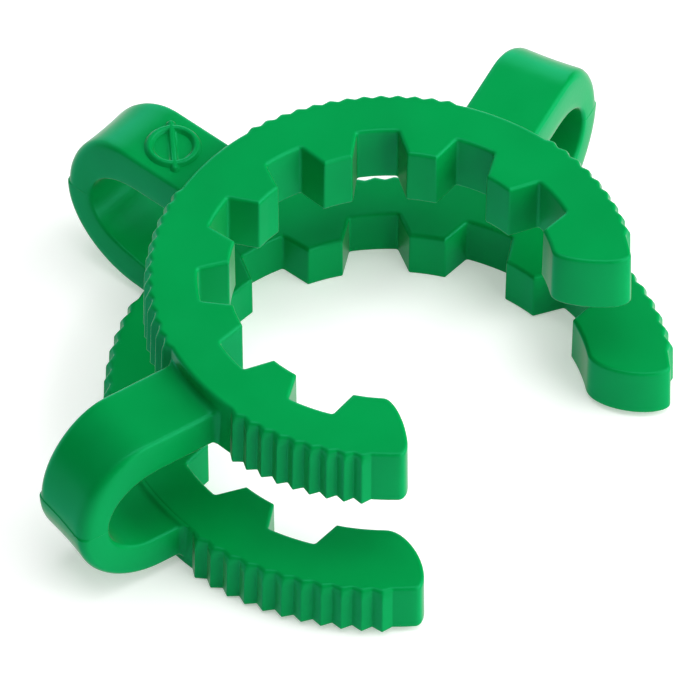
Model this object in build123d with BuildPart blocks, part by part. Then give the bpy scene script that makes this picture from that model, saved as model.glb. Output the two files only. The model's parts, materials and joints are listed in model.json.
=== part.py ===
from build123d import *
from math import cos, radians, sin
import os

# A spring clip that holds a 24 size conical ground-glass joint together.
# Two open toothed rings, one above the other, are tied by three U-shaped loops.
# Origin: on the common bore axis, level with the bottom of the lower ring.
# +Z runs from the socket ring to the cone ring, +Y to the middle loop, -Y to the mouth.
# Angles are measured from +Y towards +X, in degrees. Lengths are in millimetres.

HEIGHT = 15.0

# upper ring: grips the neck above the cone
UPPER_TIP_R = 11.25
UPPER_ROOT_R = 13.3
UPPER_WALL_R = 16.5
UPPER_THICK = 4.6

# lower ring: grips below the flange of the socket
LOWER_TIP_R = 13.8
LOWER_ROOT_R = 15.9
LOWER_WALL_R = 19.3
LOWER_THICK = 3.9

# inner teeth, the same angles on both rings
TOOTH_COUNT = 7
TOOTH_PITCH = 30
TOOTH_ROOT_HALF = 8.8
TOOTH_TIP_HALF = 5.2

# jaws: the smooth ends beside the mouth, as (root angle, tip angle, end angle)
UPPER_JAW = (113, 117, 134.7)
LOWER_JAW = (111.5, 115, 138)
JAW_NOSE_R = 1.7
JAW_CHAMFER = 0.55

# outer grip ridges, as (first angle, count) with an even pitch, mirrored
RIDGE_PITCH = 4.08
RIDGE_HEIGHT = 0.5
RIDGE_HALF = 1.9
RIDGE_ROOT = 0.3
UPPER_RIDGES = ((14.0, 13), (91.1, 9))
LOWER_RIDGES = ((17.5, 12), (88.2, 11))

# loops: straps in the radial planes at 0 and both side angles, with (outer, inner) values of the
# reach at the apex, each leg's faces and the length of each bend
SIDE_LOOP_ANGLE = 75
LOOP_WIDTH = 5.6
LOOP_EDGE_R = 0.5
PARTING_Z = 7.1
LOOP_REACHES = (27.45, 25.1)
UPPER_LEG = (13.6, 10.6)
LOWER_LEG = (0.8, 3.75)
UPPER_BENDS = (5.6, 4.15)
LOWER_BENDS = (6.6, 3.75)

# where each arm flexes: a common upright axis, with a round seam in the notch beside the middle loop
FLEX_ANGLE = 22
FLEX_R = 16.3
UPPER_SEAM_R = 3.3
LOWER_SEAM_R = 3.75
SEAM_GAP = 0.1
UPPER_DIVIDE = 18.2
LOWER_DIVIDE = 15.5

# raised size mark on the middle loop: a plain ring with a bar across it
MARK_Y = 19.9
MARK_R = 1.65
MARK_STROKE = 0.45
MARK_BAR = 4.6
MARK_BAR_TURN = 45
MARK_HEIGHT = 0.3

FAR = 60


def at(radius, angle):
    turn = radians(90 - angle)
    return (radius * cos(turn), radius * sin(turn))


def beyond(start, end, share):
    """The point past end on the line from start, by a share of its length."""
    return tuple(e + (e - s) * share for s, e in zip(start, end))


def tooth_outline(tip_r, root_r):
    """A tooth at angle 90, rooted a little way into the ring."""
    points = []
    for side in (1, -1):
        tip = at(tip_r, 90 + side * TOOTH_TIP_HALF)
        root = at(root_r, 90 + side * TOOTH_ROOT_HALF)
        points += [tip, beyond(tip, root, 0.3)][::side]
    return points


def jaw_outline(side, tip_r, root_r, jaw):
    root_angle, tip_angle, end_angle = jaw
    tip = at(tip_r, side * tip_angle)
    root = at(root_r, side * root_angle)
    inner = tip_r - 2
    outer = root_r + 1
    return [
        beyond(root, tip, 0.3),
        beyond(tip, root, 0.3),
        at(outer, side * tip_angle),
        at(outer, side * (end_angle - 5)),
        at(outer, side * (end_angle + 10)),
        at(inner, side * (end_angle + 10)),
    ]


def ridge_outline(wall_r):
    base = wall_r - RIDGE_ROOT
    half = wall_r * sin(radians(RIDGE_HALF))
    return [(base, half), (wall_r, half), (wall_r + RIDGE_HEIGHT, 0), (wall_r, -half), (base, -half)]


def ring_outline(tip_r, root_r, wall_r, jaw, ridges):
    end_angle = jaw[2]
    with BuildSketch() as outline:
        Circle(wall_r)
        Circle(root_r, mode=Mode.SUBTRACT)
        for n in range(TOOTH_COUNT):
            with Locations(Rot(0, 0, n * TOOTH_PITCH)):
                Polygon(*tooth_outline(tip_r, root_r), align=None)
        for side in (1, -1):
            Polygon(*jaw_outline(side, tip_r, root_r, jaw), align=None)
            for first, count in ridges:
                for n in range(count):
                    with Locations(Rot(0, 0, 90 - side * (first + n * RIDGE_PITCH))):
                        Polygon(*ridge_outline(wall_r), align=None)
        Circle(tip_r, mode=Mode.SUBTRACT)
        mouth = [(0, 0), at(FAR, end_angle), (0, -2 * FAR), at(FAR, -end_angle)]
        Polygon(*mouth, align=None, mode=Mode.SUBTRACT)
        corners = outline.vertices().filter_by(lambda v: v.Y < 0)
        ends = [Vector(*at(1, side * end_angle)) for side in (1, -1)]
        noses = [end * tip_r for end in ends]
        heels = [end * wall_r for end in ends]
        fillet([v for v in corners if min((Vector(v) - p).length for p in noses) < 0.1], JAW_NOSE_R)
        corners = outline.vertices().filter_by(lambda v: v.Y < 0)
        chamfer([v for v in corners if min((Vector(v) - p).length for p in heels) < 0.1], JAW_CHAMFER)
    return outline.sketch


def back_zone(divide, seam_r):
    with BuildSketch() as zone:
        Polygon((0, 0), at(FAR, divide), (0, 2 * FAR), at(FAR, -divide), align=None)
        with Locations(at(FLEX_R, FLEX_ANGLE), at(FLEX_R, -FLEX_ANGLE)):
            Circle(seam_r, mode=Mode.SUBTRACT)
    return zone.sketch


def arm_zone(side, divide, seam_r):
    with BuildSketch() as zone:
        Polygon((0, 0), at(FAR, side * divide), at(2 * FAR, side * 80), (0, -FAR), align=None)
        with Locations(at(FLEX_R, side * FLEX_ANGLE)):
            Circle(seam_r - SEAM_GAP)
    return zone.sketch


def ring_piece(outline, zone, bottom, thick):
    with BuildPart() as piece:
        with BuildSketch(Plane.XY.offset(bottom)):
            add(outline)
            add(zone, mode=Mode.INTERSECT)
        extrude(amount=thick)
    return piece.part


def loop_half(angle, leg_faces, bends, wall_r):
    """Half a loop, from the parting face at the apex to one ring's wall.

    Its side view has the distance from the bore axis as x and the height as y.
    """
    along = Vector(*at(1, angle))
    side_plane = Plane(origin=(0, 0, 0), x_dir=along, z_dir=along.cross(Vector(0, 0, 1)))
    quarter = 90 if leg_faces[0] > PARTING_Z else -90
    outlines = []
    with BuildPart() as half:
        with BuildSketch(side_plane):
            with BuildLine():
                for reach, bend, leg_z in zip(LOOP_REACHES, bends, leg_faces):
                    centre = (reach - bend, PARTING_Z)
                    rise = abs(leg_z - PARTING_Z)
                    outlines.append(EllipticalCenterArc(centre, bend, rise, arc_size=quarter))
                outer, inner = outlines
                roots = [(UPPER_ROOT_R, z) for z in leg_faces]
                Polyline(outer @ 1, *roots, inner @ 1)
                Line(inner @ 0, outer @ 0)
            make_face()
        extrude(amount=LOOP_WIDTH / 2, both=True)
        Cylinder(wall_r, 2 * FAR, mode=Mode.SUBTRACT)
        sides = half.faces().filter_by(side_plane)
        long_edges = sides.edges().filter_by(lambda e: is_long_edge(e, wall_r))
        fillet(long_edges, LOOP_EDGE_R)
    return half.part


def is_long_edge(edge, wall_r):
    """True for an edge along the strap, and false at its parting face and its root."""
    ends = (edge @ 0, edge @ 1)
    parted = all(abs(end.Z - PARTING_Z) < 0.01 for end in ends)
    rooted = all(abs(Vector(end.X, end.Y).length - wall_r) < 0.6 for end in ends)
    return not (parted or rooted)


def finish(piece, label):
    piece.label = label
    export_step(piece, f"parts/{label}.step")


os.makedirs("parts", exist_ok=True)

upper = ring_outline(UPPER_TIP_R, UPPER_ROOT_R, UPPER_WALL_R, UPPER_JAW, UPPER_RIDGES)
lower = ring_outline(LOWER_TIP_R, LOWER_ROOT_R, LOWER_WALL_R, LOWER_JAW, LOWER_RIDGES)
upper_bottom = HEIGHT - UPPER_THICK

finish(ring_piece(upper, back_zone(UPPER_DIVIDE, UPPER_SEAM_R), upper_bottom, UPPER_THICK), "upper_ring_back")
finish(ring_piece(lower, back_zone(LOWER_DIVIDE, LOWER_SEAM_R), 0, LOWER_THICK), "lower_ring_back")
for name, side in (("left", -1), ("right", 1)):
    upper_zone = arm_zone(side, UPPER_DIVIDE, UPPER_SEAM_R)
    lower_zone = arm_zone(side, LOWER_DIVIDE, LOWER_SEAM_R)
    finish(ring_piece(upper, upper_zone, upper_bottom, UPPER_THICK), f"upper_{name}_arm")
    finish(ring_piece(lower, lower_zone, 0, LOWER_THICK), f"lower_{name}_arm")

for name, angle in (("left", -SIDE_LOOP_ANGLE), ("middle", 0), ("right", SIDE_LOOP_ANGLE)):
    finish(loop_half(angle, UPPER_LEG, UPPER_BENDS, UPPER_WALL_R), f"{name}_loop_upper")
    finish(loop_half(angle, LOWER_LEG, LOWER_BENDS, LOWER_WALL_R), f"{name}_loop_lower")

with BuildPart() as size_mark:
    with BuildSketch(Plane.XY.offset(UPPER_LEG[0])):
        with Locations((0, MARK_Y)):
            Circle(MARK_R + MARK_STROKE / 2)
            Circle(MARK_R - MARK_STROKE / 2, mode=Mode.SUBTRACT)
            with Locations(Rot(0, 0, MARK_BAR_TURN)):
                SlotOverall(MARK_BAR, MARK_STROKE)
    extrude(amount=MARK_HEIGHT)
finish(size_mark.part, "size_mark")
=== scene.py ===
import json
import math

import bmesh
import bpy
import numpy as np
from mathutils import Matrix, Vector


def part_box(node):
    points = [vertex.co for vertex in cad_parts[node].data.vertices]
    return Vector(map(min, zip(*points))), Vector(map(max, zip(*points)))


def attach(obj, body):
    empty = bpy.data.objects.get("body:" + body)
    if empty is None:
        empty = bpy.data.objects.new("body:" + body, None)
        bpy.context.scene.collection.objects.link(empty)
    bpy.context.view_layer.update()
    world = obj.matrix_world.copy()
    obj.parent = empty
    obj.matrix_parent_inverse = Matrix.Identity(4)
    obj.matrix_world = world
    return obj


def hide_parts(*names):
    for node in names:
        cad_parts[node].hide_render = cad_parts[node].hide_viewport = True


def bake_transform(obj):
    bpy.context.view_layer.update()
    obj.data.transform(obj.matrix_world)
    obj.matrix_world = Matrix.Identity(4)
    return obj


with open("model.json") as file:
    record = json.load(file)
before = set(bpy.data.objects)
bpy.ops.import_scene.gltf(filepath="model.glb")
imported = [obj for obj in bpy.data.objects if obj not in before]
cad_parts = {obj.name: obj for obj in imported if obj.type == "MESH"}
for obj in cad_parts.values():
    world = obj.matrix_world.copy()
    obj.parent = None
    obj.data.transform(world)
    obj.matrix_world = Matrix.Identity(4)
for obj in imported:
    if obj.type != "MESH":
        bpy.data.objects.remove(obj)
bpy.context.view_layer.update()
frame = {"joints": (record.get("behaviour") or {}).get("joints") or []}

# The looks of a one-piece green plastic clip for a conical ground-glass joint. Two open toothed
# rings, one above the other, are tied by three U-shaped loops.
# Shapes are worked out in millimetres and turned into metres where each mesh is made. Angles
# are in degrees from +Y, where the middle loop is, towards +X. The mouth faces -Y.
MM = 0.001

# ring outlines: the same on both rings
TOOTH_PITCH = 30
TOOTH_ROOT_HALF = 8.8
TOOTH_TIP_HALF = 5.2
OUTER_TEETH = 3
RIDGE_PITCH = 4.08
RIDGE_HEIGHT = 0.5
VALLEY_HEIGHT = 0.03
PAST_RIDGES = 1
HALF_START = 0.5
ARC_STEP = 1.0
HEEL_STEPS = 6
NOSE_STEPS = 14

# edge rounding
TOOTH_TIP_R = 0.17
TOOTH_ROOT_R = 0.22
CREST_R = 0.11
VALLEY_R = 0.07
FADED_CREST_R = 0.38
FADED_VALLEY_R = 0.27
FADE = 0.5
FADE_DEPTH = 0.8
TOP_EDGE_R = 0.26
BOTTOM_EDGE_R = 0.07
SMALLEST_R = 0.012
CORNER_TURNS = 4
CORNER_SUPPORT = 0.09
BOTTOM_EDGE_STEPS = 2
TOP_EDGE_STEPS = 5
BOTTOM_SUPPORT = 0.2
FADE_LEVELS = (0, 0.2, 0.4)
CAP_INSETS = (0.08, 0.16)
TIP_CLEAR = 0.4
ROOT_CLEAR = 0.5
WALL_CLEAR = 0.3
DRAFT = 0.012

# the lower ring's lean: how much its jaws rise and its back sinks, each from a Y over a length
JAW_LIFT = 0.45
JAW_LIFT_FROM = 4
JAW_LIFT_LENGTH = 16
BACK_DROP = 0.55
BACK_DROP_FROM = 2
BACK_DROP_LENGTH = 17

# loops
SIDE_LOOP_ANGLE = 75
LOOP_WIDTH = 5.6
PARTING_Z = 7.1
LOOP_REACHES = (27.45, 25.1)
UPPER_BENDS = (5.6, 4.15)
LOWER_BENDS = (6.6, 3.75)
LOWER_LEG = (0.8, 3.75)
UPPER_LEG = (13.6, 10.6)
BEND_STEPS = 22
BEND_LAST = 5
FLASH_TURNS = [2.5, 0.9, 0.5, 0]
CORNER_STEPS = 5
SIDE_STEPS = 4
FACE_STEPS = 10
WIDTH_DRAFT = 0.02
DISH = 0.13
CROWN = 0.05
FLASH = 0.07

# a loop's edge radii: along the legs, and what the bend adds
OUTER_EDGE_R = 0.3
UPPER_BEND_EDGE = 0.6
LOWER_BEND_EDGE = 0.3
INNER_EDGE_R = 0.22
INNER_BEND_EDGE = 0.06

# where a loop meets a ring: the flare, and the cross-sections by their distance from the wall
ROOT_R = 0.45
NEAR_WALL = [-0.6, -0.2, 0, 0.04, 0.1, 0.18, 0.28, 0.4, 0.6]
LEG_START = 0.9
LEG_STATIONS = 6
BEFORE_BEND = 0.2
WALL_BLEND = 3
LEAN_BLEND = 3.5
INSIDE_FACES = 0.02

# raised mark on the middle loop
MARK_Y = 19.9
MARK_R = 1.65
MARK_STROKE = 0.45
MARK_BAR = 4.6
MARK_BAR_TURN = 45
MARK_STEPS = 64
MARK_END_STEPS = 8

# flex axes, as in the frame, and the round seam of the lower ring about them
SEAM_R = 3.75
SEAM_CLEAR = 0.012
SEAM_TURNS = (12, 100)
SEAM_STEPS = 60
FAR = 60


class Ring:
    """One toothed ring's sizes: radii, jaw angles and where its outer ridges are."""

    def __init__(self, node, tip_r, root_r, wall_r, jaw, end_r, corner, ridges):
        low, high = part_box(node)
        self.bottom = low.z / MM
        self.top = high.z / MM
        self.tip_r = tip_r
        self.root_r = root_r
        self.wall_r = wall_r
        self.jaw_root, self.jaw_tip, self.nose, self.end = jaw
        self.end_r = end_r
        self.corner = corner
        self.ridges = ridges


def polar(radius, angle):
    turn = math.radians(angle)
    return np.array((radius * math.sin(turn), radius * math.cos(turn)))


def arc(radius, start, end, clear=0):
    """Smooth outline vertices along an arc about the bore axis, both ends left out.

    clear is how much of the arc, in millimetres, stays free for rounded corners at its ends.
    """
    steps = max(1, math.ceil(abs(end - start) / ARC_STEP))
    angles = [start + (end - start) * n / steps for n in range(1, steps)]
    free = max(math.degrees(clear / radius), ARC_STEP / 2)
    low, high = min(start, end) + free, max(start, end) - free
    return [(polar(radius, angle), 0) for angle in angles if low < angle < high]


def quarter(start, end, steps, rising):
    """Vertices of a quarter ellipse in angle and radius, both ends included."""
    points = []
    for n in range(steps + 1):
        turn = math.pi / 2 * n / steps
        shares = (math.sin(turn), 1 - math.cos(turn)) if rising else (1 - math.cos(turn), math.sin(turn))
        angle = start[0] + (end[0] - start[0]) * shares[0]
        radius = start[1] + (end[1] - start[1]) * shares[1]
        points.append((polar(radius, angle), 0))
    return points


def outer_side(ring, faded):
    """The outer wall from the middle loop to the jaw's outer corner.

    faded runs from 0, for full ridges, to 1, for the low round ones at the top face.
    """
    crest_r = CREST_R + (FADED_CREST_R - CREST_R) * faded
    valley_r = VALLEY_R + (FADED_VALLEY_R - VALLEY_R) * faded
    height = RIDGE_HEIGHT * (1 - FADE * faded)
    valley = ring.wall_r + VALLEY_HEIGHT
    points = []
    angle = HALF_START
    for first, count in ring.ridges:
        points.append((polar(ring.wall_r, angle), 0))
        points += arc(ring.wall_r, angle, first - RIDGE_PITCH / 2, WALL_CLEAR)
        points.append((polar(ring.wall_r, first - RIDGE_PITCH / 2), valley_r))
        for n in range(count):
            crest = first + n * RIDGE_PITCH
            last = n == count - 1
            points.append((polar(ring.wall_r + height, crest), crest_r))
            points.append((polar(ring.wall_r if last else valley, crest + RIDGE_PITCH / 2), valley_r))
        angle = first + (count - 0.5) * RIDGE_PITCH + PAST_RIDGES
    points.append((polar(ring.wall_r, angle), 0))
    points += arc(ring.wall_r, angle, ring.end - ring.corner)
    return points


def inner_side(ring):
    """The inner wall from the jaw's nose to the tooth opposite the mouth."""
    points = arc(ring.tip_r, ring.nose, ring.jaw_tip, TIP_CLEAR)
    points.append((polar(ring.tip_r, ring.jaw_tip), TOOTH_TIP_R))
    points.append((polar(ring.root_r, ring.jaw_root), TOOTH_ROOT_R))
    last = ring.jaw_root
    for n in range(OUTER_TEETH, 0, -1):
        middle = n * TOOTH_PITCH
        points += arc(ring.root_r, last, middle + TOOTH_ROOT_HALF, ROOT_CLEAR)
        points.append((polar(ring.root_r, middle + TOOTH_ROOT_HALF), TOOTH_ROOT_R))
        points.append((polar(ring.tip_r, middle + TOOTH_TIP_HALF), TOOTH_TIP_R))
        points += arc(ring.tip_r, middle + TOOTH_TIP_HALF, middle - TOOTH_TIP_HALF, TIP_CLEAR)
        points.append((polar(ring.tip_r, middle - TOOTH_TIP_HALF), TOOTH_TIP_R))
        last = middle - TOOTH_ROOT_HALF
        points.append((polar(ring.root_r, last), TOOTH_ROOT_R))
    points += arc(ring.root_r, last, TOOTH_ROOT_HALF, ROOT_CLEAR)
    points.append((polar(ring.root_r, TOOTH_ROOT_HALF), TOOTH_ROOT_R))
    points.append((polar(ring.tip_r, TOOTH_TIP_HALF), TOOTH_TIP_R))
    points += arc(ring.tip_r, TOOTH_TIP_HALF, HALF_START, TIP_CLEAR)
    points.append((polar(ring.tip_r, HALF_START), 0))
    return points


def ring_outline(ring, faded):
    """The whole outline, anticlockwise from above, as places and corner radii."""
    right = outer_side(ring, faded)
    heel = (ring.end, ring.end_r)
    right += quarter((ring.end - ring.corner, ring.wall_r), heel, HEEL_STEPS, True)
    right += quarter(heel, (ring.nose, ring.tip_r), NOSE_STEPS, False)[1:]
    right += inner_side(ring)
    left = [(place * (-1, 1), radius) for place, radius in reversed(right)]
    outline = list(reversed(right + left))
    places = np.array([place for place, _ in outline])
    radii = np.array([radius for _, radius in outline])
    return places, radii


def smooth(share):
    """The share from 0 to 1, eased at both ends."""
    share = min(max(share, 0), 1)
    return share * share * (3 - 2 * share)


def unit(vector):
    return vector / np.linalg.norm(vector)


def inset(places, radii, depth, corner_depth):
    """The outline moved inwards by depth, with its corners rounded.

    corner_depth is the depth that the corners' radii are worked out for.
    """
    count = len(places)
    edges = np.roll(places, -1, axis=0) - places
    edges /= np.linalg.norm(edges, axis=1)[:, None]
    normals = np.stack((-edges[:, 1], edges[:, 0]), axis=1)
    before = np.roll(normals, 1, axis=0)
    mitre = (before + normals) / (1 + (before * normals).sum(axis=1))[:, None]
    moved = places + mitre * depth
    points = []
    for n in range(count):
        if not radii[n]:
            points.append(moved[n])
            continue
        arrive = unit(moved[n] - moved[n - 1])
        leave = unit(moved[(n + 1) % count] - moved[n])
        cross = arrive[0] * leave[1] - arrive[1] * leave[0]
        turn = math.atan2(cross, arrive @ leave)
        radius = max(SMALLEST_R, radii[n] - math.copysign(corner_depth, turn))
        reach = radius * math.tan(abs(turn) / 2)
        support = reach + CORNER_SUPPORT
        side = math.copysign(1, turn)
        centre = moved[n] - arrive * reach + np.array((-arrive[1], arrive[0])) * radius * side
        points.append(moved[n] - arrive * support)
        spoke = moved[n] - arrive * reach - centre
        for step in range(CORNER_TURNS + 1):
            swing = turn * step / CORNER_TURNS
            cos, sin = math.cos(swing), math.sin(swing)
            points.append(centre + (spoke[0] * cos - spoke[1] * sin, spoke[0] * sin + spoke[1] * cos))
        points.append(moved[n] + leave * support)
    return np.array(points)


def ring_levels(ring):
    """(height, depth, corner depth) of each outline from the bottom face to the top face."""
    levels = []
    for step in range(BOTTOM_EDGE_STEPS + 1):
        turn = math.pi / 2 * step / BOTTOM_EDGE_STEPS
        depth = BOTTOM_EDGE_R * (1 - math.sin(turn))
        levels.append((ring.bottom + BOTTOM_EDGE_R * (1 - math.cos(turn)), depth))
    levels.append((ring.bottom + BOTTOM_SUPPORT, 0))
    levels += [(ring.top - FADE_DEPTH + more, 0) for more in FADE_LEVELS]
    for step in range(TOP_EDGE_STEPS + 1):
        turn = math.pi / 2 * step / TOP_EDGE_STEPS
        levels.append((ring.top - TOP_EDGE_R * (1 - math.sin(turn)), TOP_EDGE_R * (1 - math.cos(turn))))
    drafted = [(z, depth - DRAFT * (ring.top - z), max(depth, 0)) for z, depth in levels]
    return drafted + [(ring.top, TOP_EDGE_R + more, TOP_EDGE_R) for more in CAP_INSETS]


def new_mesh(name, points, faces):
    """A smooth-shaded object from points in millimetres."""
    mesh = bpy.data.meshes.new(name)
    mesh.from_pydata([tuple(p) for p in np.asarray(points) * MM], [], faces)
    mesh.polygons.foreach_set("use_smooth", [True] * len(mesh.polygons))
    mesh.update()
    piece = bpy.data.objects.new(name, mesh)
    bpy.context.scene.collection.objects.link(piece)
    return piece


def stack(name, loops):
    """A closed solid through a stack of loops with the same number of points."""
    count = len(loops[0])
    faces = [tuple(reversed(range(count)))]
    for level in range(len(loops) - 1):
        base = level * count
        for n in range(count):
            after = (n + 1) % count
            faces.append((base + n, base + after, base + count + after, base + count + n))
    faces.append(tuple(range((len(loops) - 1) * count, len(loops) * count)))
    return new_mesh(name, np.concatenate(loops), faces)


def lean(y, share, jaw_lift, back_drop):
    """How far a leaning ring's jaws rise, and the top of its back sinks.

    share is the height in the ring, from 0 at its bottom face to 1 at its top face.
    """
    lift = jaw_lift * smooth((JAW_LIFT_FROM - y) / JAW_LIFT_LENGTH)
    return lift - back_drop * share * smooth((y - BACK_DROP_FROM) / BACK_DROP_LENGTH)


def ring_solid(name, ring, jaw_lift, back_drop):
    """A whole ring as a stack of outlines, leaning by jaw_lift and back_drop."""
    loops = []
    for z, depth, corner_depth in ring_levels(ring):
        faded = smooth(1 - (ring.top - z) / FADE_DEPTH)
        flat = inset(*ring_outline(ring, faded), depth, corner_depth)
        share = (z - ring.bottom) / (ring.top - ring.bottom)
        lift = [lean(y, share, jaw_lift, back_drop) for y in flat[:, 1]]
        loops.append(np.column_stack((flat, z + np.array(lift))))
    return stack(name, loops)


def face_outwards(piece):
    shape = bmesh.new()
    shape.from_mesh(piece.data)
    bmesh.ops.recalc_face_normals(shape, faces=shape.faces[:])
    shape.to_mesh(piece.data)
    shape.free()


def sharpen(piece, angle=50):
    piece.data.set_sharp_from_angle(angle=math.radians(angle))


def half_of(piece, side, name):
    """The half of a piece on one side of the plane X = 0, closed there."""
    half = bpy.data.objects.new(name, piece.data.copy())
    bpy.context.scene.collection.objects.link(half)
    shape = bmesh.new()
    shape.from_mesh(half.data)
    cut = bmesh.ops.bisect_plane(
        shape,
        geom=shape.verts[:] + shape.edges[:] + shape.faces[:],
        dist=1e-8,
        plane_co=(0, 0, 0),
        plane_no=(side, 0, 0),
        clear_inner=True,
    )
    rim = [e for e in cut["geom_cut"] if isinstance(e, bmesh.types.BMEdge)]
    bmesh.ops.contextual_create(shape, geom=rim)
    bmesh.ops.recalc_face_normals(shape, faces=shape.faces[:])
    shape.to_mesh(half.data)
    shape.free()
    sharpen(half)
    return half


def flex_point(side):
    """Where the frame's flex axis on that side is, in millimetres."""
    name = "right_arm_flex" if side > 0 else "left_arm_flex"
    joint = next(j for j in frame["joints"] if j["name"] == name)
    return np.array(joint["pos_m"][:2]) / MM


def arm_tool(side, seam_r):
    """A tall prism over one arm of the lower ring, with the round seam as its near side."""
    centre = flex_point(side)
    seam = []
    for turn in np.radians(np.linspace(*SEAM_TURNS, SEAM_STEPS)):
        seam.append(centre + np.array((-math.sin(turn) * side, math.cos(turn))) * seam_r)
    beside_bore = ((0.5 * side, 2), (0.5 * side, -FAR), (FAR * side, -FAR), (FAR * side, FAR))
    outline = [unit(seam[0]) * FAR, *seam, *beside_bore]
    loops = [np.array([(x, y, z) for x, y in outline]) for z in (-5, 10)]
    tool = stack(f"arm_tool_{side}", loops)
    face_outwards(tool)
    return tool


def cut_with(piece, tool, operation):
    modifier = piece.modifiers.new("cut", "BOOLEAN")
    modifier.operation = operation
    modifier.solver = "EXACT"
    modifier.object = tool
    bake(piece)


def bake(piece):
    """Applies every modifier of a piece."""
    depsgraph = bpy.context.evaluated_depsgraph_get()
    mesh = bpy.data.meshes.new_from_object(piece.evaluated_get(depsgraph))
    piece.modifiers.clear()
    piece.data = mesh


def copy_of(piece, name):
    twin = bpy.data.objects.new(name, piece.data.copy())
    bpy.context.scene.collection.objects.link(twin)
    return twin


def remove(*pieces):
    for piece in pieces:
        bpy.data.objects.remove(piece)


# ------------------------------------------------------------------ loops


def section(width, thick, outer_r, inner_r):
    """A rounded rectangle across the strap, as (place across the width, height over the inner face)."""
    half = width / 2
    points = []

    def run(start, end, steps):
        for n in range(1, steps):
            points.append(start + (end - start) * n / steps)

    def corner(centre, radius, start):
        for n in range(CORNER_STEPS + 1):
            turn = math.radians(start - 90 * n / CORNER_STEPS)
            points.append(np.array(centre) + radius * np.array((math.cos(turn), math.sin(turn))))

    for side in (1, -1):
        top = thick - outer_r if side > 0 else inner_r
        low = inner_r if side > 0 else thick - outer_r
        first_r, last_r = (outer_r, inner_r) if side > 0 else (inner_r, outer_r)
        corner(((half - first_r) * side, top), first_r, 90 if side > 0 else 270)
        run(points[-1], np.array((half * side, low)), SIDE_STEPS)
        corner(((half - last_r) * side, low), last_r, 0 if side > 0 else 180)
        run(points[-1], np.array((-(half - last_r) * side, points[-1][1])), FACE_STEPS)
    return np.array(points)


class Station:
    """One cross-section of a loop.

    inner and outer are its places in the loop's side view, bend is 0 on a leg and 1 at the apex,
    and flash is 1 where the flash line is.
    """

    def __init__(self, inner, outer, bend, upper, flash=0):
        self.inner = np.array(inner)
        self.outer = np.array(outer)
        self.bend = bend
        self.upper = upper
        self.flash = flash


def leg_stations(ring, leg, bends, upper):
    """A straight leg, from just inside the ring's wall to the bend."""
    starts = [reach - bend for reach, bend in zip(LOOP_REACHES, bends)]
    reach = min(starts) - BEFORE_BEND - ring.wall_r
    away = NEAR_WALL + list(np.linspace(LEG_START, reach, LEG_STATIONS))
    return [Station((ring.wall_r + s, leg[1]), (ring.wall_r + s, leg[0]), 0, upper) for s in away]


def bend_stations(leg, bends, upper):
    """Quarter-ellipse bends from a leg to the parting plane, with the flash line at its end."""
    stations = []
    turns = [90 - (90 - BEND_LAST) * n / BEND_STEPS for n in range(BEND_STEPS + 1)] + FLASH_TURNS
    for turn in turns:
        cos, sin = math.cos(math.radians(turn)), math.sin(math.radians(turn))
        places = []
        for reach, bend, leg_z in zip(LOOP_REACHES, bends, leg):
            places.append((reach - bend + bend * cos, PARTING_Z + (leg_z - PARTING_Z) * sin))
        flash = 1 if turn == 0 else 0
        stations.append(Station(places[1], places[0], cos, upper, flash))
    return stations


def place_section(station, angle, ring):
    """The points of a station's cross-section, in the frame."""
    across_strap = station.outer - station.inner
    thick = np.linalg.norm(across_strap)
    middle_z = (station.outer[1] + station.inner[1]) / 2
    width = LOOP_WIDTH - WIDTH_DRAFT * abs(middle_z - PARTING_Z)
    share = smooth(station.bend)
    outer_r = OUTER_EDGE_R + (UPPER_BEND_EDGE if station.upper else LOWER_BEND_EDGE) * share
    inner_r = INNER_EDGE_R + INNER_BEND_EDGE * share
    flat = section(width, thick, outer_r, inner_r)
    across, height = flat[:, 0].copy(), flat[:, 1].copy()
    level = height / thick
    edge = np.abs(across) / (width / 2)
    height -= DISH * share * (1 - edge ** 2) * level ** 4
    across += np.sign(across) * CROWN * 4 * level * (1 - level) * edge ** 6
    if station.flash:
        height += FLASH * level ** 4 * (0.8 + 0.5 * edge ** 4)
        across += np.sign(across) * FLASH * 0.35 * edge ** 6
    from_wall = station.inner[0] - ring.wall_r
    gap = min(max(from_wall, 0), ROOT_R)
    flare = ROOT_R - math.sqrt(ROOT_R ** 2 - (ROOT_R - gap) ** 2)
    across *= 1 + flare / (width / 2)
    height += (height - thick / 2) * flare / (thick / 2)
    side_view = station.inner + np.outer(height, across_strap / thick)
    hug = 1 - smooth(from_wall / WALL_BLEND)
    reach = side_view[:, 0] - hug * (ring.wall_r - np.sqrt(ring.wall_r ** 2 - across ** 2))
    z = side_view[:, 1]
    if from_wall < 1:
        z = np.clip(z, ring.bottom + INSIDE_FACES, ring.top - INSIDE_FACES)
    along, beside = polar(1, angle), polar(1, angle + 90)
    places = np.outer(reach, along) + np.outer(across, beside)
    if not station.upper:
        rooted = 1 - smooth(from_wall / LEAN_BLEND)
        z = z + [rooted * lean(y, h / ring.top, 0, BACK_DROP) for (_, y), h in zip(places, z)]
    return np.column_stack((places, z))


def loop(name, angle):
    """A whole loop, from the upper ring round to the lower one."""
    upper = leg_stations(UPPER, UPPER_LEG, UPPER_BENDS, True)
    upper += bend_stations(UPPER_LEG, UPPER_BENDS, True)
    lower = leg_stations(LOWER, LOWER_LEG, LOWER_BENDS, False)
    lower += bend_stations(LOWER_LEG, LOWER_BENDS, False)
    loops = [place_section(station, angle, UPPER) for station in upper]
    loops += [place_section(station, angle, LOWER) for station in reversed(lower[:-1])]
    piece = stack(name, loops)
    face_outwards(piece)
    sharpen(piece, 60)
    return piece


# ------------------------------------------------------------------ raised mark


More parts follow.
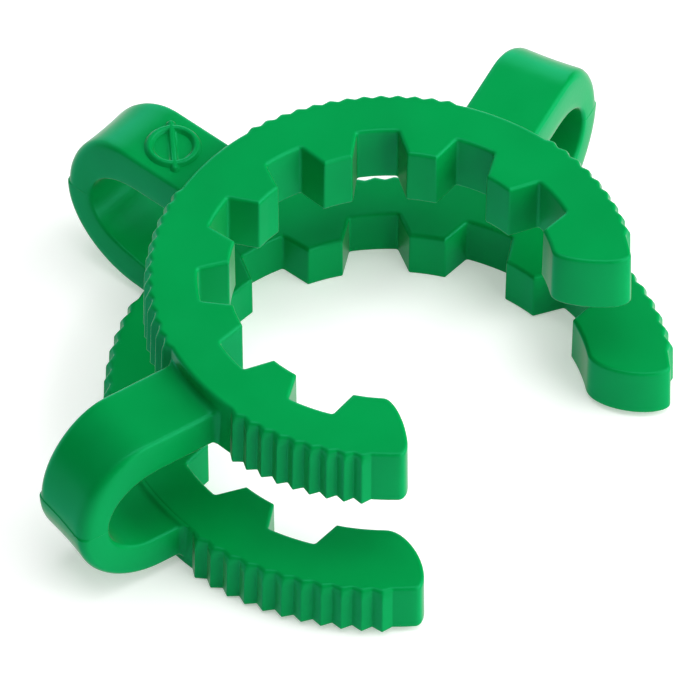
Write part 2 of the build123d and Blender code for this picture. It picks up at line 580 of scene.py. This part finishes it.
def mark_profile():
    """(distance from the stroke's middle line, height over the leg) from its foot to its crown."""
    half = MARK_STROKE / 2
    foot = [(half + 0.12, -0.1), (half + 0.12, 0), (half + 0.03, 0.06)]
    return foot + [(half - 0.02, 0.18), (half - 0.09, 0.27), (0.04, 0.3)]


def raised_mark(name):
    """A plain ring with a bar across it."""
    base = UPPER_LEG[0]
    profile = mark_profile()
    rim = profile + [(-offset, height) for offset, height in reversed(profile)]
    points = []
    for n in range(MARK_STEPS):
        turn = 2 * math.pi * n / MARK_STEPS
        for offset, height in rim:
            radius = MARK_R + offset
            points.append((radius * math.cos(turn), MARK_Y + radius * math.sin(turn), base + height))
    faces = []
    count = len(rim)
    for n in range(MARK_STEPS):
        for k in range(count):
            here, after = n * count, (n + 1) % MARK_STEPS * count
            faces.append((here + k, after + k, after + (k + 1) % count, here + (k + 1) % count))
    ring_part = new_mesh(name, points, faces)
    face_outwards(ring_part)
    loops = []
    straight = MARK_BAR / 2 - MARK_STROKE / 2
    turn = math.radians(MARK_BAR_TURN)
    turned = np.array(((math.cos(turn), -math.sin(turn)), (math.sin(turn), math.cos(turn))))
    for offset, height in profile:
        outline = []
        for end in (1, -1):
            for n in range(MARK_END_STEPS + 1):
                swing = math.pi * (n / MARK_END_STEPS - 0.5) + (0 if end > 0 else math.pi)
                outline.append((straight * end + offset * math.cos(swing), offset * math.sin(swing)))
        outline = np.array(outline) @ turned.T + (0, MARK_Y)
        loops.append(np.column_stack((outline, np.full(len(outline), base + height))))
    bar = stack("mark_bar", loops)
    face_outwards(bar)
    cut_with(ring_part, bar, "UNION")
    remove(bar)
    sharpen(ring_part, 60)
    return ring_part


# ------------------------------------------------------------------ making


# jaw: the angles of its root, tip, nose and end. ridges: (first angle, count) of each group.
UPPER = Ring(
    node="upper_ring_back",
    tip_r=11.2,
    root_r=13.3,
    wall_r=16.5,
    jaw=(113, 117, 127.5, 134.7),
    end_r=15.2,
    corner=2.4,
    ridges=((14.0, 13), (91.1, 9)),
)
LOWER = Ring(
    node="lower_ring_back",
    tip_r=13.75,
    root_r=15.85,
    wall_r=19.3,
    jaw=(111.5, 115, 129, 138),
    end_r=17.6,
    corner=2.2,
    ridges=((17.5, 12), (88.2, 11)),
)

whole_upper = ring_solid("whole_upper", UPPER, 0, 0)
upper_right = half_of(whole_upper, 1, "upper_ring_right_half")
upper_left = half_of(whole_upper, -1, "upper_ring_left_half")
remove(whole_upper)

whole_lower = ring_solid("whole_lower", LOWER, JAW_LIFT, BACK_DROP)
arm_tools = {side: arm_tool(side, SEAM_R - SEAM_CLEAR) for side in (1, -1)}
gap_tools = {side: arm_tool(side, SEAM_R) for side in (1, -1)}
lower_right = copy_of(whole_lower, "lower_ring_right")
cut_with(lower_right, arm_tools[1], "INTERSECT")
lower_left = copy_of(whole_lower, "lower_ring_left")
cut_with(lower_left, arm_tools[-1], "INTERSECT")
lower_back = copy_of(whole_lower, "lower_ring_middle")
cut_with(lower_back, gap_tools[1], "DIFFERENCE")
cut_with(lower_back, gap_tools[-1], "DIFFERENCE")
remove(whole_lower, *arm_tools.values(), *gap_tools.values())
for piece in (lower_right, lower_left, lower_back):
    sharpen(piece)

loops = {
    "left": loop("left_loop", -SIDE_LOOP_ANGLE),
    "middle": loop("middle_loop", 0),
    "right": loop("right_loop", SIDE_LOOP_ANGLE),
}
mark = raised_mark("raised_mark")


# ------------------------------------------------------------------ material

SHADE = (0.0, 0.245, 0.046)
TINT = (0.0, 0.275, 0.053)
SHEEN = (0.08, 0.62, 0.5, 1)
GRAZING = (0.5, 0.6, 0.56, 1)
WHITENING = (0.1, 0.35)
FLOW_SCALE = 160
POLISH_SCALE = 420
POLISH = (0.26, 0.4)
GRAIN_SCALE = 2600
GRAIN_STRENGTH = 0.12
GRAIN_DEPTH = 0.00004


def green_plastic():
    """Satin moulded plastic: faint flow marks in its colour, uneven polish and fine grain.

    Its gloss is tinted where the surface faces the viewer and paler at a grazing angle.
    """
    material = bpy.data.materials.new("green_plastic")
    material.use_nodes = True
    tree = material.node_tree
    nodes, links = tree.nodes, tree.links
    shader = nodes["Principled BSDF"]
    shader.inputs["Specular IOR Level"].default_value = 0.0
    gloss = nodes.new("ShaderNodeBsdfGlossy")
    facing = nodes.new("ShaderNodeFresnel")
    facing.inputs["IOR"].default_value = 1.5
    whiten = nodes.new("ShaderNodeValToRGB")
    for element, share, colour in zip(whiten.color_ramp.elements, WHITENING, (SHEEN, GRAZING)):
        element.position = share
        element.color = colour
    links.new(facing.outputs["Fac"], whiten.inputs["Fac"])
    links.new(whiten.outputs["Color"], gloss.inputs["Color"])
    both = nodes.new("ShaderNodeMixShader")
    links.new(facing.outputs["Fac"], both.inputs["Fac"])
    links.new(shader.outputs["BSDF"], both.inputs[1])
    links.new(gloss.outputs["BSDF"], both.inputs[2])
    links.new(both.outputs["Shader"], nodes["Material Output"].inputs["Surface"])
    place = nodes.new("ShaderNodeTexCoord").outputs["Object"]

    def noise(scale, detail, roughness=0.5):
        node = nodes.new("ShaderNodeTexNoise")
        node.inputs["Scale"].default_value = scale
        node.inputs["Detail"].default_value = detail
        node.inputs["Roughness"].default_value = roughness
        links.new(place, node.inputs["Vector"])
        return node.outputs["Fac"]

    def ramp(source, *stops):
        node = nodes.new("ShaderNodeValToRGB")
        for element, (position, colour) in zip(node.color_ramp.elements, stops):
            element.position = position
            element.color = (*colour, 1)
        links.new(source, node.inputs["Fac"])
        return node.outputs["Color"]

    flow = ramp(noise(FLOW_SCALE, 3), (0.3, SHADE), (0.7, TINT))
    links.new(flow, shader.inputs["Base Color"])

    polish = nodes.new("ShaderNodeMapRange")
    polish.inputs["To Min"].default_value, polish.inputs["To Max"].default_value = POLISH
    links.new(noise(POLISH_SCALE, 4), polish.inputs["Value"])
    links.new(polish.outputs["Result"], shader.inputs["Roughness"])
    links.new(polish.outputs["Result"], gloss.inputs["Roughness"])

    grain = nodes.new("ShaderNodeBump")
    grain.inputs["Strength"].default_value = GRAIN_STRENGTH
    grain.inputs["Distance"].default_value = GRAIN_DEPTH
    links.new(noise(GRAIN_SCALE, 5, 0.6), grain.inputs["Height"])
    links.new(grain.outputs["Normal"], shader.inputs["Normal"])
    links.new(grain.outputs["Normal"], gloss.inputs["Normal"])
    links.new(grain.outputs["Normal"], facing.inputs["Normal"])
    return material


plastic = green_plastic()


def wear(piece, node_names):
    """Gives a piece its material and hides the CAD nodes it stands for."""
    piece.data.materials.clear()
    piece.data.materials.append(plastic)
    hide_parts(*node_names)


# ------------------------------------------------------------------ materials, and the lower ring's pieces and the mark riding on the frame

PARTS = {
    upper_right: ("upper_right_arm", "upper_ring_back"),
    upper_left: ("upper_left_arm", "upper_ring_back"),
    lower_back: ("lower_ring_back",),
    lower_right: ("lower_right_arm",),
    lower_left: ("lower_left_arm",),
    loops["left"]: ("left_loop_upper", "left_loop_lower"),
    loops["middle"]: ("middle_loop_upper", "middle_loop_lower"),
    loops["right"]: ("right_loop_upper", "right_loop_lower"),
    mark: ("size_mark",),
}
for piece, node_names in PARTS.items():
    wear(piece, node_names)

for piece, arm, side in ((upper_right, "right_arm", 1), (upper_left, "left_arm", -1)):
    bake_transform(piece)
for name, top_body, low_body in (
    ("left", "left_arm", "left_arm_lower"),
    ("middle", "upper_ring", "lower_ring"),
    ("right", "right_arm", "right_arm_lower"),
):
    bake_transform(loops[name])
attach(lower_back, "lower_ring")
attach(lower_right, "right_arm_lower")
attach(lower_left, "left_arm_lower")
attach(mark, "upper_ring")

# ------------------------------------------------------------------ stage, light and camera

FLOOR_SIZE = 3.0
FLOOR_Z = -0.00002
FLOOR_GLOW = 0.36
half_floor = FLOOR_SIZE / 2
floor_corners = ((-1, -1), (1, -1), (1, 1), (-1, 1))
floor_points = [(x * half_floor, y * half_floor, FLOOR_Z) for x, y in floor_corners]
floor_mesh = bpy.data.meshes.new("floor")
floor_mesh.from_pydata(floor_points, [], [(0, 1, 2, 3)])
floor = bpy.data.objects.new("floor", floor_mesh)
bpy.context.scene.collection.objects.link(floor)
paper = bpy.data.materials.new("white_paper")
paper.use_nodes = True
paper_shader = paper.node_tree.nodes["Principled BSDF"]
paper_shader.inputs["Base Color"].default_value = (0.8, 0.8, 0.8, 1)
paper_shader.inputs["Roughness"].default_value = 0.9
paper_shader.inputs["Emission Color"].default_value = (1, 1, 1, 1)
paper_shader.inputs["Emission Strength"].default_value = FLOOR_GLOW
floor_mesh.materials.append(paper)

# the camera: angles in degrees, a lens in millimetres, and a distance and offsets in metres
CAMERA_AZIMUTH = -49.61
CAMERA_ELEVATION = 48.27
CAMERA_ROLL = 0.51
CAMERA_LENS = 1015.0
CAMERA_DISTANCE = 1.35
CAMERA_RIGHT = -0.00288
CAMERA_UP = -0.00518


def direction(azimuth, elevation):
    """From the object towards a camera or light at that azimuth and elevation."""
    a, e = math.radians(azimuth), math.radians(elevation)
    return Vector((math.sin(a) * math.cos(e), -math.cos(a) * math.cos(e), math.sin(e)))


def photo_camera():
    """The scene's camera, looking at the top of the upper ring's bore with small offsets."""
    data = bpy.data.cameras.new("camera")
    data.lens = CAMERA_LENS
    data.sensor_width = 36
    data.clip_start = 0.01
    data.clip_end = 10
    camera = bpy.data.objects.new("camera", data)
    bpy.context.scene.collection.objects.link(camera)
    back = direction(CAMERA_AZIMUTH, CAMERA_ELEVATION)
    around = math.radians(CAMERA_AZIMUTH)
    level = Vector((math.cos(around), math.sin(around), 0))
    turn = Matrix.Rotation(math.radians(CAMERA_ROLL), 3, back)
    right = turn @ level
    up = back.cross(right)
    target = Vector((0, 0, UPPER.top * MM))
    place = target + right * CAMERA_RIGHT + up * CAMERA_UP + back * CAMERA_DISTANCE
    axes = Matrix((right, up, back)).transposed().to_4x4()
    camera.matrix_world = Matrix.Translation(place) @ axes
    bpy.context.scene.camera = camera


photo_camera()

# lights, each as (azimuth, elevation, size in metres, power in watts)
LIGHT_DISTANCE = 0.6
LIGHTS = {
    "front_low": (14, 16, 0.62, 4.4),
    "front_high": (0, 52, 0.42, 0.3),
    "top": (0, 89.9, 0.42, 1.75),
    "right_low": (55, 18, 0.42, 1.3),
    "right_high": (45, 52, 0.42, 1.2),
    "back_right": (135, 18, 0.42, 1.8),
    "back": (180, 18, 0.42, 0.6),
    "left": (240, 60, 0.42, 0.3),
}


def softbox(name, azimuth, elevation, size, power):
    """A square light that faces the origin."""
    data = bpy.data.lights.new(name, "AREA")
    data.shape = "SQUARE"
    data.size = size
    data.energy = power
    lamp = bpy.data.objects.new(name, data)
    bpy.context.scene.collection.objects.link(lamp)
    towards = direction(azimuth, elevation)
    lamp.location = towards * LIGHT_DISTANCE
    lamp.rotation_mode = "QUATERNION"
    lamp.rotation_quaternion = towards.to_track_quat("Z", "Y")


for name, setting in LIGHTS.items():
    softbox(name, *setting)

world = bpy.data.worlds.new("studio")
world.use_nodes = True
world.node_tree.nodes["Background"].inputs["Color"].default_value = (1, 1, 1, 1)
world.node_tree.nodes["Background"].inputs["Strength"].default_value = 0.0
bpy.context.scene.world = world
bpy.context.scene.view_settings.view_transform = "Standard"
